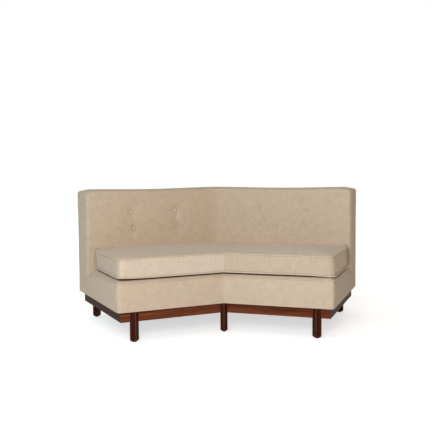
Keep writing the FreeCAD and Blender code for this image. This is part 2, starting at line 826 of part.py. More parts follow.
def back_block(inset, front, sunk):
    """The back of a wing, drawn in by an inset and sunk at its top, its outer edges rounded."""
    end = amount("wing_length") - inset
    rear = amount("overall_depth") - inset
    top = amount("overall_height") - inset - sunk
    block = wing_block(end, front, rear, deck_bottom, top)
    return rounded(
        block,
        Vector(end, rear, (deck_bottom + top) / 2),
        [Vector(0, rear, top), Vector(end, (front + rear) / 2, top)],
        amount("corner_round") - inset,
        amount("back_round") - inset - sunk,
    )


def back_cover():
    """The cloth round the back of a wing: end panel, wadded top and outside back."""
    cloth = amount("cover_thick")
    face = amount(BACK_FACE)
    inside = back_block(cloth, face - cloth, amount("top_wadding"))
    shell = back_block(0, face, 0).cut(inside)
    top = amount("overall_height")
    over_pad = wing_block(amount("wing_length"), 0, amount(PAD_REAR), top - amount("back_round"), top)
    return shell.cut(over_pad)


seat_cover_shape = seat_cover()
deck_pad_shape = deck_pad()
back_cover_shape = back_cover()
for name, side in SIDES.items():
    fitted(f"seat_cover_{name}", seat_cover_shape, side)
    fitted(f"deck_pad_{name}", deck_pad_shape, side)
    fitted(f"back_cover_{name}", back_cover_shape, side)

# Test every piece, then write them

doc.recompute()
for item in doc.Objects:
    if "Invalid" in item.State or "Error" in item.State:
        raise RuntimeError(f"{item.Name} failed: {item.State}")
for piece in pieces:
    if piece.Shape.isNull() or not piece.Shape.isValid() or not piece.Shape.Solids:
        raise RuntimeError(f"{piece.Label} has no sound solid")

os.makedirs("parts", exist_ok=True)
for piece in pieces:
    piece.Shape.exportStep(f"parts/{piece.Label}.step")
    box = piece.Shape.BoundBox
    print(
        f"{piece.Label}: {len(piece.Shape.Solids)} solids, {piece.Shape.Volume / 1e6:.3f} litres,"
        f" {box.XLength:.0f} x {box.YLength:.0f} x {box.ZLength:.0f} mm"
    )
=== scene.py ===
# %% [markdown]
# # A bent, armless sofa
# Two straight wings meet at a bend and share one loose seat cushion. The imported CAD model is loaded
# first and is never changed: wood and metal keep their CAD shapes and only get a finish, and the
# upholstery is modelled here, in metres, in the same places.

# %% Load the frame
import math

import bpy
import numpy as np
from mathutils import Euler, Matrix, Vector


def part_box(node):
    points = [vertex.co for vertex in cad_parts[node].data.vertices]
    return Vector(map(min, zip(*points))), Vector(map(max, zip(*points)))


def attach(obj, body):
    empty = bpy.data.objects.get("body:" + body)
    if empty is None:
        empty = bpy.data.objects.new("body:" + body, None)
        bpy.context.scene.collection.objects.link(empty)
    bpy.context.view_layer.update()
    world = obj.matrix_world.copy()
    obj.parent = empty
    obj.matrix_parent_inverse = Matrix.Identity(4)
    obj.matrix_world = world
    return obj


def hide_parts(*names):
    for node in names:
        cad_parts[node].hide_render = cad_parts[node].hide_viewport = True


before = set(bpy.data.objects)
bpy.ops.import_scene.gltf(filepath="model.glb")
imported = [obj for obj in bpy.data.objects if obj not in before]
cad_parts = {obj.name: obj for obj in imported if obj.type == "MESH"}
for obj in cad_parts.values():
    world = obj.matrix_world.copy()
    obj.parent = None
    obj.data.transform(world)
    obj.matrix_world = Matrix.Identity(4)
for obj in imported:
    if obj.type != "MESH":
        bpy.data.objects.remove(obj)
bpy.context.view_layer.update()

# %% [markdown]
# ## The wings' plan
# Each wing is a straight bench, so its pieces are easiest to draw in its own plan: along the wing from
# the bend, depth from the seat's front, and height. Turning that plan by the bend's angle puts a piece
# in the room, and the left wing is the mirror image of the right one.

# %% From a wing's plan to the room and back
BEND = math.radians(22.5)
SLOPE = math.tan(BEND)
WING_LENGTH = 0.600
OVERALL_DEPTH = 0.780
BACK_THICK = 0.200
BACK_FACE = OVERALL_DEPTH - BACK_THICK
SIDES = {"left": -1, "right": 1}
bend_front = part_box("back_cover_right")[1].y - OVERALL_DEPTH / math.cos(BEND)


def to_room(points, side):
    """Points of a wing's plan (along, depth, height), in the room."""
    along, depth, height = np.asarray(points, float).T
    across = along * math.cos(BEND) + depth * math.sin(BEND)
    back = depth * math.cos(BEND) - along * math.sin(BEND)
    return np.stack([side * across, back + bend_front, height], 1)


def to_plan(points, side):
    """Points of the room, in the plan of the wing on their side."""
    across, back = points[:, 0] * side, points[:, 1] - bend_front
    along = across * math.cos(BEND) - back * math.sin(BEND)
    depth = across * math.sin(BEND) + back * math.cos(BEND)
    return np.stack([along, depth, points[:, 2]], 1)


def mitred(points):
    """Points of a straight box, sheared so that its start lies in the bend's plane."""
    along, depth, height = points.T
    return np.stack([along - (1 - along / WING_LENGTH) * depth * SLOPE, depth, height], 1)


print("the seat's front at the bend is at y =", round(bend_front, 4))

# %% [markdown]
# ## Meshes and cloth coordinates
# Upholstery cloth is woven flat and pulled over a form, so the threads run level and upright on every
# panel. Unwrapping each piece by hand could give that too, but the panels are nearly flat, so each face
# gets coordinates in metres from the way it faces. The weave is drawn on those, which keeps its scale
# true on any panel.

# %% Make a piece and lay the cloth on it
SHARP_FROM = math.radians(50)


def new_piece(name, points, faces, side=1):
    """A mesh object, smooth but for its sharp edges; a mirrored one has its faces turned over."""
    mesh = bpy.data.meshes.new(name)
    mesh.from_pydata(points.tolist(), [], faces[:, ::side].tolist())
    mesh.shade_smooth()
    mesh.set_sharp_from_angle(angle=SHARP_FROM)
    piece = bpy.data.objects.new(name, mesh)
    bpy.context.scene.collection.objects.link(piece)
    return piece


def values_of(items, name, width=1):
    """One value, or a row of them, of every item of a mesh."""
    values = np.empty(len(items) * width, np.float32)
    items.foreach_get(name, values)
    return values.reshape(-1, width) if width > 1 else values


def lay_cloth(piece):
    """Cloth coordinates for each face: across and up as the cloth runs on that panel."""
    mesh = piece.data
    side = np.where(values_of(mesh.polygons, "center", 3)[:, 0] < 0, -1, 1)
    normal = values_of(mesh.polygons, "normal", 3) + np.array([0, bend_front, 0])
    facing = np.abs(to_plan(normal, side)).argmax(1)
    face = np.repeat(np.arange(len(side)), values_of(mesh.polygons, "loop_total").astype(int))
    corner = values_of(mesh.loops, "vertex_index").astype(int)
    plan = to_plan(values_of(mesh.vertices, "co", 3)[corner], side[face])
    across = np.where(facing[face] == 0, plan[:, 1], plan[:, 0])
    up = np.where(facing[face] == 2, plan[:, 1], plan[:, 2])
    layer = mesh.uv_layers.new(name="cloth")
    layer.uv.foreach_set("vector", np.stack([across, up], 1).astype(np.float32).ravel())


# %% [markdown]
# ## Finishes
# One function turns the sRGB colours that are easy to read into the linear ones that Blender mixes, one
# fills a node's sockets with values or links, and one adds a node. Every finish below is built with these.

# %% Colour and node helpers
def linear(colour):
    """A hex sRGB colour as linear RGBA."""
    parts = [int(colour[at:at + 2], 16) / 255 for at in (1, 3, 5)]
    return [v / 12.92 if v <= 0.04045 else ((v + 0.055) / 1.055) ** 2.4 for v in parts] + [1.0]


def fill(node, sockets):
    """Fill a node's sockets with values, or link them to other nodes' outputs."""
    for name, value in sockets.items():
        if isinstance(value, bpy.types.NodeSocket):
            node.id_data.links.new(value, node.inputs[name])
        else:
            node.inputs[name].default_value = value


def add(tree, kind, sockets=None, **settings):
    """A new shader node of a kind, with its settings, and its sockets filled."""
    node = tree.nodes.new("ShaderNode" + kind)
    for name, value in settings.items():
        setattr(node, name, value)
    fill(node, sockets or {})
    return node


def new_material(name):
    """An empty node material, its tree and its shader."""
    material = bpy.data.materials.new(name)
    material.use_nodes = True
    return material, material.node_tree, material.node_tree.nodes["Principled BSDF"]


# %% [markdown]
# The cover is a plain-woven linen blend in natural beige: slubby yarns of uneven thickness, no lustre,
# a faint nap. Real threads are about 1 mm apart, too fine to show from across a room, so the weave is
# drawn at 2.4 mm, and the slubs, which do show, are drawn at their real width and length. From a step
# away the slubs only break the colour up a little, so their three shades lie close together. The loose
# cushion was cut from a slightly paler length. A paler copy of its cloth is painted light, on its left
# front band and the left wing's buttons. A darker copy is painted shade, on its right front and left
# end bands.

# %% Natural linen weave
MM = 0.001
THREAD = 2.4 * MM
THREAD_RELIEF, THREAD_SHARE = 0.5 * MM, 0.5
SLUB_WIDTH = 4.0 * MM
SLUB_LENGTH = 55 * MM
MOTTLE = 40 * MM


def linen_material(name, pale, mid, dark):
    """Slubby plain weave from three close shades of the yarn."""
    material, tree, shader = new_material(name)
    cloth = add(tree, "UVMap", uv_map="cloth").outputs["UV"]
    split = add(tree, "SeparateXYZ", {"Vector": cloth}).outputs
    waves = []
    for axis in ("X", "Y"):
        turns = add(tree, "Math", {0: split[axis], 1: math.pi / THREAD}, operation="MULTIPLY")
        waves.append(add(tree, "Math", {0: turns.outputs[0]}, operation="SINE").outputs[0])
    weave = add(tree, "Math", {0: waves[0], 1: waves[1]}, operation="MULTIPLY").outputs[0]
    slubs = []
    for across, up in ((SLUB_WIDTH, SLUB_LENGTH), (SLUB_LENGTH, SLUB_WIDTH)):
        drawn_out = add(tree, "Mapping", {"Vector": cloth, "Scale": (1 / across, 1 / up, 1)})
        slub = add(
            tree,
            "TexNoise",
            {"Vector": drawn_out.outputs["Vector"], "Scale": 1.0, "Detail": 2.0, "Roughness": 0.6},
            noise_dimensions="2D",
        )
        slubs.append(slub.outputs["Fac"])
    streak = add(tree, "Math", {0: slubs[0], 1: slubs[1]}, operation="ADD").outputs[0]
    shade = add(tree, "MapRange", {"Value": streak, "From Min": 0.72, "From Max": 1.28})
    yarn = add(tree, "ValToRGB", {"Fac": shade.outputs["Result"]})
    stops = yarn.color_ramp.elements
    stops[0].color = linear(dark)
    stops[1].color = linear(pale)
    stops.new(0.5).color = linear(mid)
    patch = add(
        tree,
        "TexNoise",
        {"Vector": cloth, "Scale": 1 / MOTTLE, "Detail": 3.0, "Roughness": 0.55},
        noise_dimensions="2D",
    )
    level = add(
        tree,
        "MapRange",
        {"Value": patch.outputs["Fac"], "From Min": 0.3, "From Max": 0.7, "To Min": 0.965, "To Max": 1.035},
    )
    dyed = add(tree, "HueSaturation", {"Color": yarn.outputs["Color"], "Value": level.outputs["Result"]})
    relief = add(tree, "Math", {0: weave, 1: THREAD_SHARE, 2: streak}, operation="MULTIPLY_ADD")
    bump = add(tree, "Bump", {"Height": relief.outputs[0], "Strength": 0.35, "Distance": THREAD_RELIEF})
    fill(shader, {"Base Color": dyed.outputs["Color"], "Normal": bump.outputs["Normal"]})
    fill(shader, {"Roughness": 0.88, "Specular IOR Level": 0.25})
    fill(shader, {"Sheen Weight": 0.12, "Sheen Roughness": 0.5})
    return material


linen = linen_material("natural_linen_weave", "#D5C2AC", "#D0BCA5", "#C9B59D")
cushion_linen = linen_material("natural_linen_cushion", "#DAC7B3", "#D5C1AC", "#CEBAA4")
# A paler copy of the cushion's cloth, as painted light.
painted_light_linen = linen_material("natural_linen_painted_light_band", "#DFCEBC", "#DAC8B5", "#D3C1AD")
# A darker copy of the cushion's cloth, as painted shade.
painted_shade_linen = linen_material("natural_linen_painted_shade_band", "#D0BEA9", "#CBB8A2", "#C4B19A")
print("made", [cloth.name for cloth in (linen, cushion_linen, painted_light_linen, painted_shade_linen)])

# %% [markdown]
# The base is solid mahogany, planed, stained red-brown and waxed to a dull sheen. Its grain runs along
# each board, so the finish is made once for each direction a board can lie in. Close dark lines are
# the pores, and broader bands are the figure. Real pores are about 0.3 mm wide, too fine to show, so they
# are drawn at 1.6 mm. End grain soaks up more stain than a planed face. The legs and the end rails get a
# darker stain than the long rails, as painted shade, and the arrises of the legs are paler, partly from
# wear and partly as a painted highlight.

# %% Grain, and arrises paled by wear and a painted highlight
PORE_WIDTH, PORE_LENGTH = 1.6 * MM, 70 * MM
FIGURE_WIDTH, FIGURE_LENGTH = 16 * MM, 600 * MM
ARRIS_WEAR_AND_HIGHLIGHT_WIDTH = 5 * MM


def board_grain(tree, turn):
    """Pores and figure along the local X of a turn, and how far a face shows its end grain."""
    place = add(tree, "TexCoord").outputs
    turned = {}
    for kind in ("Object", "Normal"):
        board = {"Vector": place[kind], "Rotation": turn}
        turned[kind] = add(tree, "VectorRotate", board, rotation_type="EULER_XYZ").outputs["Vector"]
    layers = []
    for length, width in ((PORE_LENGTH, PORE_WIDTH), (FIGURE_LENGTH, FIGURE_WIDTH)):
        scale = (1 / length, 1 / width, 1 / width)
        drawn_out = add(tree, "Mapping", {"Vector": turned["Object"], "Scale": scale}).outputs
        texture = {"Scale": 1.0, "Detail": 4.0, "Roughness": 0.6, "Distortion": 0.3}
        grain = add(tree, "TexNoise", {"Vector": drawn_out["Vector"], **texture})
        layers.append(grain.outputs["Fac"])
    along = add(tree, "SeparateXYZ", {"Vector": turned["Normal"]}).outputs["X"]
    end_on = add(tree, "Math", {0: along}, operation="ABSOLUTE").outputs[0]
    end_grain = add(tree, "MapRange", {"Value": end_on, "From Min": 0.6, "From Max": 0.9})
    return *layers, end_grain.outputs["Result"]


def arris_wear_and_highlight(tree, wear_and_highlight_share):
    """How far an arris is paled, by wear and a painted highlight: up to the given share on it, none beside
    it.
    """
    eased = add(tree, "Bevel", {"Radius": ARRIS_WEAR_AND_HIGHLIGHT_WIDTH}, samples=8).outputs["Normal"]
    crisp = add(tree, "NewGeometry").outputs["True Normal"]
    alike = add(tree, "VectorMath", {0: eased, 1: crisp}, operation="DOT_PRODUCT").outputs["Value"]
    paled_arris = {"Value": alike, "From Min": 0.99, "From Max": 0.85, "To Min": 0.0, "To Max": wear_and_highlight_share}
    return add(tree, "MapRange", paled_arris).outputs["Result"]


# %% Stained mahogany
PORE_RELIEF, PORE_SHARE = 0.3 * MM, 0.55
END_GRAIN = "#3A2217"
# A paler tone for the arrises: partly wear, partly a painted highlight.
ARRIS_WEAR_AND_HIGHLIGHT_TONE = "#946350"


def mahogany_material(name, turn, stain, wear_and_highlight_share):
    """Mahogany in the pale, middle and dark shade of one stain, its arrises paled by a share for wear and a
    painted highlight.
    """
    material, tree, shader = new_material(name)
    pale, mid, dark = stain
    pores, figure, end_grain = board_grain(tree, turn)
    blend = add(tree, "Math", {0: pores, 1: PORE_SHARE, 2: figure}, operation="MULTIPLY_ADD").outputs[0]
    shade = add(tree, "MapRange", {"Value": blend, "From Min": 0.52, "From Max": 1.02})
    stained = add(tree, "ValToRGB", {"Fac": shade.outputs["Result"]})
    stops = stained.color_ramp.elements
    stops[0].color = linear(dark)
    stops[1].color = linear(pale)
    stops.new(0.5).color = linear(mid)
    seen = stained.outputs["Color"]
    # End grain takes more stain; the arrises take the paler tone, partly wear and partly a painted
    # highlight.
    for share, colour in ((end_grain, END_GRAIN), (arris_wear_and_highlight(tree, wear_and_highlight_share), ARRIS_WEAR_AND_HIGHLIGHT_TONE)):
        mixed = {"Factor": share, "A": seen, "B": linear(colour)}
        seen = add(tree, "Mix", mixed, data_type="RGBA").outputs["Result"]
    gloss = add(
        tree,
        "MapRange",
        {"Value": pores, "From Min": 0.3, "From Max": 0.7, "To Min": 0.58, "To Max": 0.44},
    )
    bump = add(tree, "Bump", {"Height": pores, "Strength": 0.25, "Distance": PORE_RELIEF})
    fill(shader, {"Base Color": seen, "Normal": bump.outputs["Normal"]})
    fill(shader, {"Roughness": gloss.outputs["Result"], "Specular IOR Level": 0.03})
    return material


QUARTER = math.pi / 2
RAIL_STAIN = ("#874A2E", "#683723", "#371B10")
# The end rails and the legs get darker stains than the long rails, as painted shade.
END_RAIL_PAINTED_SHADE_STAIN = ("#4C2D1F", "#3A2217", "#1F110B")
LEG_PAINTED_SHADE_STAIN = ("#532718", "#3C1B11", "#1E0C07")
# How much of the paler arris tone, wear and painted highlight, each board gets: a little on the rails, fully
# on the legs.
RAIL_WEAR_AND_HIGHLIGHT, LEG_WEAR_AND_HIGHLIGHT = 0.15, 1.0
boards = {
    "left_run": ((0, 0, -BEND), RAIL_STAIN, RAIL_WEAR_AND_HIGHLIGHT),
    "right_run": ((0, 0, BEND), RAIL_STAIN, RAIL_WEAR_AND_HIGHLIGHT),
    "left_end": ((0, 0, -BEND + QUARTER), END_RAIL_PAINTED_SHADE_STAIN, RAIL_WEAR_AND_HIGHLIGHT),
    "right_end": ((0, 0, BEND + QUARTER), END_RAIL_PAINTED_SHADE_STAIN, RAIL_WEAR_AND_HIGHLIGHT),
    "middle": ((0, 0, QUARTER), RAIL_STAIN, RAIL_WEAR_AND_HIGHLIGHT),
    "upright": ((0, QUARTER, 0), LEG_PAINTED_SHADE_STAIN, LEG_WEAR_AND_HIGHLIGHT),
}
mahogany = {way: mahogany_material("stained_mahogany_" + way, *board) for way, board in boards.items()}
print("made", len(mahogany), "directions of mahogany")

# %% [markdown]
# The base is made of CAD boards and posts, which keep their shape. A joiner breaks every sharp edge with
# a few strokes of a plane, so a small bevel catches a line of light along them. It is a modifier, which
# leaves the CAD mesh itself alone.

# %% Finish the base
EASED_EDGE = 0.8 * MM
EASED_FROM = math.radians(30)
WELD_GAP = 0.01 * MM


def finish_node(name, material):
    """Give a CAD node one material."""
    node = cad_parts[name]
    node.data.materials.clear()
    node.data.materials.append(material)
    return node


def ease_edges(node):
    """A weld and a narrow bevel on a CAD board, without touching its mesh."""
    weld = node.modifiers.new("weld", "WELD")
    weld.merge_threshold = WELD_GAP
    bevel = node.modifiers.new("eased_edges", "BEVEL")
    bevel.width = EASED_EDGE
    bevel.segments = 2
    bevel.limit_method = "ANGLE"
    bevel.angle_limit = EASED_FROM
    bevel.harden_normals = True


base_boards = {"base_centre_rail": "middle"}
for name in SIDES:
    for row in ("front", "back"):
        base_boards[f"base_{row}_rail_{name}"] = name + "_run"
    base_boards[f"base_end_rail_{name}"] = name + "_end"
for row in ("front", "back"):
    for place in ("left", "centre", "right"):
        base_boards[f"leg_{row}_{place}"] = "upright"
for name, way in base_boards.items():
    ease_edges(finish_node(name, mahogany[way]))
print("finished", len(base_boards), "rails and legs")

# %% [markdown]
# Inside, the frame is sawn beech, the springs are bare tempered wire, the screws are zinc plated, and
# the straps and twine are jute. None of it shows once the sofa is covered, but each still looks like
# what it is when the cover is off.

# %% Sawn beech, spring wire, zinc and jute
BEECH_FLECK = 3 * MM
WIRE_MARK = 12 * MM
ZINC_BLOOM = 6 * MM
JUTE_THREAD = 3 * MM
FLECK_RELIEF = 0.3 * MM
FLECK_STOPS = (0.3, 0.7)


def speckled_material(name, dark, pale, size, roughness, stretch=1, metallic=0):
    """A finish of two close shades in fine flecks, drawn out along one way."""
    material, tree, shader = new_material(name)
    place = add(tree, "TexCoord").outputs["Object"]
    scale = (1 / size / stretch, 1 / size, 1 / size)
    drawn_out = add(tree, "Mapping", {"Vector": place, "Scale": scale}).outputs["Vector"]
    flecks = add(tree, "TexNoise", {"Vector": drawn_out, "Scale": 1.0, "Detail": 3.0}).outputs["Fac"]
    colour = add(tree, "ValToRGB", {"Fac": flecks})
    for stop, position, shade in zip(colour.color_ramp.elements, FLECK_STOPS, (dark, pale)):
        stop.position = position
        stop.color = linear(shade)
    bump = add(tree, "Bump", {"Height": flecks, "Strength": 0.3, "Distance": FLECK_RELIEF})
    fill(shader, {"Base Color": colour.outputs["Color"], "Normal": bump.outputs["Normal"]})
    fill(shader, {"Roughness": roughness, "Metallic": metallic})
    return material


beech = speckled_material("sawn_beech", "#B98F63", "#D2AD82", BEECH_FLECK, roughness=0.7, stretch=9)
wire = speckled_material("tempered_spring_wire", "#3B3A3A", "#5A5754", WIRE_MARK, roughness=0.42, metallic=1)
zinc = speckled_material("zinc_plated_steel", "#9C9C98", "#B9B9B4", ZINC_BLOOM, roughness=0.35, metallic=1)
jute = speckled_material("jute_webbing", "#8F7448", "#B59A69", JUTE_THREAD, roughness=0.9, stretch=4)

hidden_finishes = {
    beech: [
        *(f"seat_{board}_rail_{name}" for board in ("front", "back", "end") for name in SIDES),
        *(f"back_{board}_rail_{name}" for board in ("top", "tacking", "bottom") for name in SIDES),
        *(f"back_post_{name}" for name in SIDES),
        "seat_centre_rail",
        "back_centre_post",
        "seat_corner_blocks",
        "base_corner_blocks",
    ],
    wire: [f"seat_springs_{name}" for name in SIDES],
    zinc: [*(f"spring_clips_{name}" for name in SIDES), "leg_screws", "base_screws"],
    jute: [*(f"back_webbing_{name}" for name in SIDES), "tufting_twine"],
}
for material, names in hidden_finishes.items():
    for name in names:
        finish_node(name, material)
print("finished", sum(len(names) for names in hidden_finishes.values()), "inner nodes")

# %% [markdown]
# ## Covered boxes
# The seat and the back are wooden boxes under a tight cover. Sculpting one would be hard to repeat on the
# other wing, so the start is the skin of a box: one grid of quads over all its sides, its edges rounded by
# pulling them onto a smaller core. Then every point can be pushed about by plain formulas for padding,
# seams and buttons.

# %% The skin of a rounded box
ROUND_STEPS = 12
TINY = 1e-9


def ticks(low, high, step, round_low=0.0, round_high=0.0):
    """Places from low to high about a step apart, and closer in the rounded ends."""
    start, stop = low + round_low, high - round_high
    places = [np.linspace(start, stop, max(2, round((stop - start) / step) + 1))]
    if round_low:
        places.insert(0, np.linspace(low, start, ROUND_STEPS, endpoint=False))
    if round_high:
        places.append(np.linspace(stop, high, ROUND_STEPS + 1)[1:])
    return np.concatenate(places)


def box_skin(axes):
    """Points and quads over the surface of a box, from its ticks along three axes."""
    shape = [len(axis) for axis in axes]
    quads = []
    for axis, (first, second) in enumerate(((1, 2), (2, 0), (0, 1))):
        j, k = np.meshgrid(np.arange(shape[first] - 1), np.arange(shape[second] - 1), indexing="ij")
        for end in (0, shape[axis] - 1):
            corners = []
            for step_j, step_k in ((0, 0), (1, 0), (1, 1), (0, 1)):
                place = [None, None, None]
                place[axis] = np.full_like(j, end)
                place[first] = j + step_j
                place[second] = k + step_k
                corners.append(np.ravel_multi_index(place, shape).ravel())
            quads.append(np.stack(corners if end else corners[::-1], 1))
    keys, faces = np.unique(np.concatenate(quads), return_inverse=True)
    spots = np.unravel_index(keys, shape)
    return np.stack([axes[a][spots[a]] for a in range(3)], 1), faces.reshape(-1, 4)


def round_over(points, low, high, round_low, round_high):
    """A box's points with its edges rounded by these sizes on its low and high sides."""
    core = np.clip(points, low + round_low, high - round_high)
    offset = points - core
    size = np.maximum(np.where(offset < 0, round_low, round_high), TINY)
    reach = np.linalg.norm(offset / size, axis=1, keepdims=True)
    return core + offset / np.maximum(reach, 1)


# %% [markdown]
# Two more formulas are used on every form: an easy slope from 0 to 1, which fades an effect in or out, and
# the way cloth bridges the hollow corner of the bend, where a real cover can't follow the frame.

# %% Slopes and the bend's bridge
def smooth(value, start, stop):
    """0 before start, 1 after stop, and an easy slope between."""
    share = np.clip((value - start) / (stop - start), 0, 1)
    return share * share * (3 - 2 * share)


def bridge_run(fill_depth):
    """How far along a wing the cloth leaves its form to bridge the bend's hollow corner."""
    return 2 * fill_depth / (math.sin(BEND) * math.cos(BEND))


def bridged(along, fill_depth):
    """How far the cloth stands off its form near the bend, so that both wings meet smoothly."""
    return fill_depth * np.clip(1 - along / bridge_run(fill_depth), 0, 1) ** 2


# %% [markdown]
# The seat box is covered edge to edge: a front panel, an end panel and the deck, with a soft top edge.
# At the rear end corner the cover is pulled down and tucked in beside the back, so its top edge falls
# away there. A firm roll runs along the front and end edges and keeps the cushion from sliding off, so
# the deck dips behind it, and the front edge sinks a little towards the bend. The cloth turns under
# the frame, where it is stapled.

# %% The seat's cover
deck_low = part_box("seat_cover_right")[0].z
deck_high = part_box("seat_cover_right")[1].z
TURNED_UNDER = 0.6 * MM
SEAT_ROUND = 18 * MM
SEAT_CORNER = 24 * MM
SEAM_ROUND = 4 * MM
PANEL_SWELL = 2.5 * MM
SEAT_FILL = 2 * MM
ROLL_WIDTH, ROLL_DROP, ROLL_FROM = 14 * MM, 7 * MM, 0.9
DIP_FLOOR, DIP_STOP = 45 * MM, 110 * MM
RIM_SAG, END_SAG, SAG_FROM = 6.5 * MM, 4 * MM, 0.6
TUCK_ALONG, TUCK_DEPTH, TUCK_DROP, TUCK_FADE = 0.060, 0.175, 0.040, 0.3

seat_low = np.array([0, 0, deck_low - TURNED_UNDER])
seat_high = np.array([WING_LENGTH, BACK_FACE, deck_high])
seat_round_low = np.array([0, SEAT_ROUND, 0])
seat_round_high = np.array([SEAT_CORNER, SEAM_ROUND, SEAT_ROUND])


def rim_sag(along):
    """How far the seat's front edge has sunk, along a wing."""
    return RIM_SAG + (END_SAG - RIM_SAG) * np.clip(along / WING_LENGTH, 0, 1) ** 2


def covered_seat(flat):
    """Points of the plain seat box of a wing, moved to where its cover lies."""
    points = round_over(flat, seat_low, seat_high, seat_round_low, seat_round_high)
    rise = np.clip((flat[:, 2] - seat_low[2]) / (seat_high[2] - seat_low[2]), 0, 1)
    belly = np.sin(np.pi * rise)
    on_front = smooth(-flat[:, 1], -SEAT_ROUND, 0)
    points[:, 1] -= (PANEL_SWELL * belly + bridged(flat[:, 0], SEAT_FILL)) * on_front
    points[:, 0] += PANEL_SWELL * belly * smooth(flat[:, 0], WING_LENGTH - SEAT_CORNER, WING_LENGTH)
    beyond = (flat[:, 1] - BACK_FACE + TUCK_DEPTH) / TUCK_DEPTH + (flat[:, 0] - WING_LENGTH) / TUCK_ALONG
    points[:, 2] -= TUCK_DROP * np.maximum(beyond, 0) * rise
    from_edge = np.minimum(flat[:, 1], WING_LENGTH - flat[:, 0])
    dip = smooth(from_edge, ROLL_WIDTH, DIP_FLOOR) * (1 - smooth(from_edge, 2 * DIP_FLOOR, DIP_STOP))
    points[:, 2] -= ROLL_DROP * dip * smooth(rise, ROLL_FROM, 1) * (1 - smooth(beyond, -TUCK_FADE, 0))
    points[:, 2] -= rim_sag(flat[:, 0]) * smooth(rise, SAG_FROM, 1)
    return mitred(points)


print("seat cover from", round(deck_low, 3), "to", round(deck_high, 3), "metres high")

# %% Seat boxes
SEAT_STEP = 10 * MM


def dress(piece, body, *cloths):
    """Lay the cloth on a piece, give it its materials, and let it ride on a body."""
    lay_cloth(piece)
    for cloth in cloths:
        piece.data.materials.append(cloth)
    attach(piece, body)


fine_low = seat_round_low + np.array([bridge_run(SEAT_FILL), 0, 0])
axes = [ticks(seat_low[a], seat_high[a], SEAT_STEP, fine_low[a], seat_round_high[a]) for a in range(3)]
flat, faces = box_skin(axes)
plan = covered_seat(flat)
for name, side in SIDES.items():
    piece = new_piece(f"seat_box_{name}", to_room(plan, side), faces, side)
    dress(piece, "sofa_frame", linen)
    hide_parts(f"seat_cover_{name}", f"deck_pad_{name}")
print("seat boxes:", len(plan), "points each")

# %% [markdown]
# Four covered buttons on each wing, in two columns at the thirds of the panel, are pulled in by twine. A
# dent round a button is deepest at the button and dies away fast, with a shallow pleat between the two of
# a column. The left wing is tufted deeper, and its lower buttons were set a little off their column.

# %% Buttons and the dents round them
back_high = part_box("back_cover_right")[1].z
BUTTON_DROPS = (0.136, 0.230)
LOWER_SHIFT = {"left": (-11 * MM, -9 * MM), "right": (0.0, 0.0)}
TUFT_DEPTH = {"left": 15 * MM, "right": 9 * MM}
TUFT_REACH = 24 * MM
PLEAT_DEPTH, PLEAT_WIDTH, PLEAT_FADE = 2.5 * MM, 10 * MM, 0.05
button_rows = [back_high - drop for drop in BUTTON_DROPS]
panel_start = -BACK_FACE * SLOPE
panel_third = (WING_LENGTH - panel_start) / 3
button_columns = (panel_start + panel_third, panel_start + 2 * panel_third)


def button_pairs(name):
    """The buttons of a wing, as (along, height): the upper and the lower one of each column."""
    aside, up = LOWER_SHIFT[name]
    return [((column, button_rows[0]), (column + aside, button_rows[1] + up)) for column in button_columns]


def tuft_dent(along, height, name):
    """How far the buttons pull the inside back in, at places on it."""
    dent = np.zeros_like(along)
    for upper, lower in button_pairs(name):
        for column, row in (upper, lower):
            away = np.hypot(along - column, height - row)
            dent += TUFT_DEPTH[name] * np.exp(-away / TUFT_REACH)
        between = smooth(height, lower[1] - PLEAT_FADE, lower[1])
        between *= 1 - smooth(height, upper[1], upper[1] + PLEAT_FADE)
        pleat = np.interp(height, (lower[1], upper[1]), (lower[0], upper[0]))
        dent += PLEAT_DEPTH * between * np.exp(-(((along - pleat) / PLEAT_WIDTH) ** 2))
    return dent


print("buttons at", [round(column, 3) for column in button_columns], "metres along a wing")

# %% [markdown]
# The back of each wing is a padded slab. Its inside face swells a little over the lumbar, and between the
# buttons. Beside the cushion's rear corner the cover is pulled down into an upright fold. It hangs a
# little slack along the top, so that edge dips between its corners.

# %% The fold and the swell of the inside back
cushion_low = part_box("cushion_cover_right")[0].z
SEAM_HIGH = 106 * MM
FOLD_DEPTH = {"left": 4 * MM, "right": 24 * MM}
FOLD_WIDTH, FOLD_FADE = 7.5 * MM, 0.01
FOLD_PLACES = (20 * MM, 15 * MM, 16 * MM, 27 * MM)
FOLD_RISES = np.array([-0.15, 0.25, 0.7, 1.1])
LUMBAR, LUMBAR_FOOT = 1 * MM, 0.105
PILLOW, PILLOW_FOOT = 3 * MM, 0.100
NEAR_BEND, NEAR_END = 0.080, 0.160
BEND_HOLLOW = 0.35
BACK_FILL = 7 * MM
BACK_TOP_ROUND = 18 * MM


def end_fold(along, height):
    """How much of the upright fold beside the cushion lies at places on the inside back."""
    levels = cushion_low + SEAM_HIGH * FOLD_RISES
    away = along - WING_LENGTH + np.interp(height, levels, FOLD_PLACES)
    held = smooth(height, levels[0] - FOLD_FADE, levels[1]) * (1 - smooth(height, levels[2], levels[3]))
    return held * np.exp(-((away / FOLD_WIDTH) ** 2))


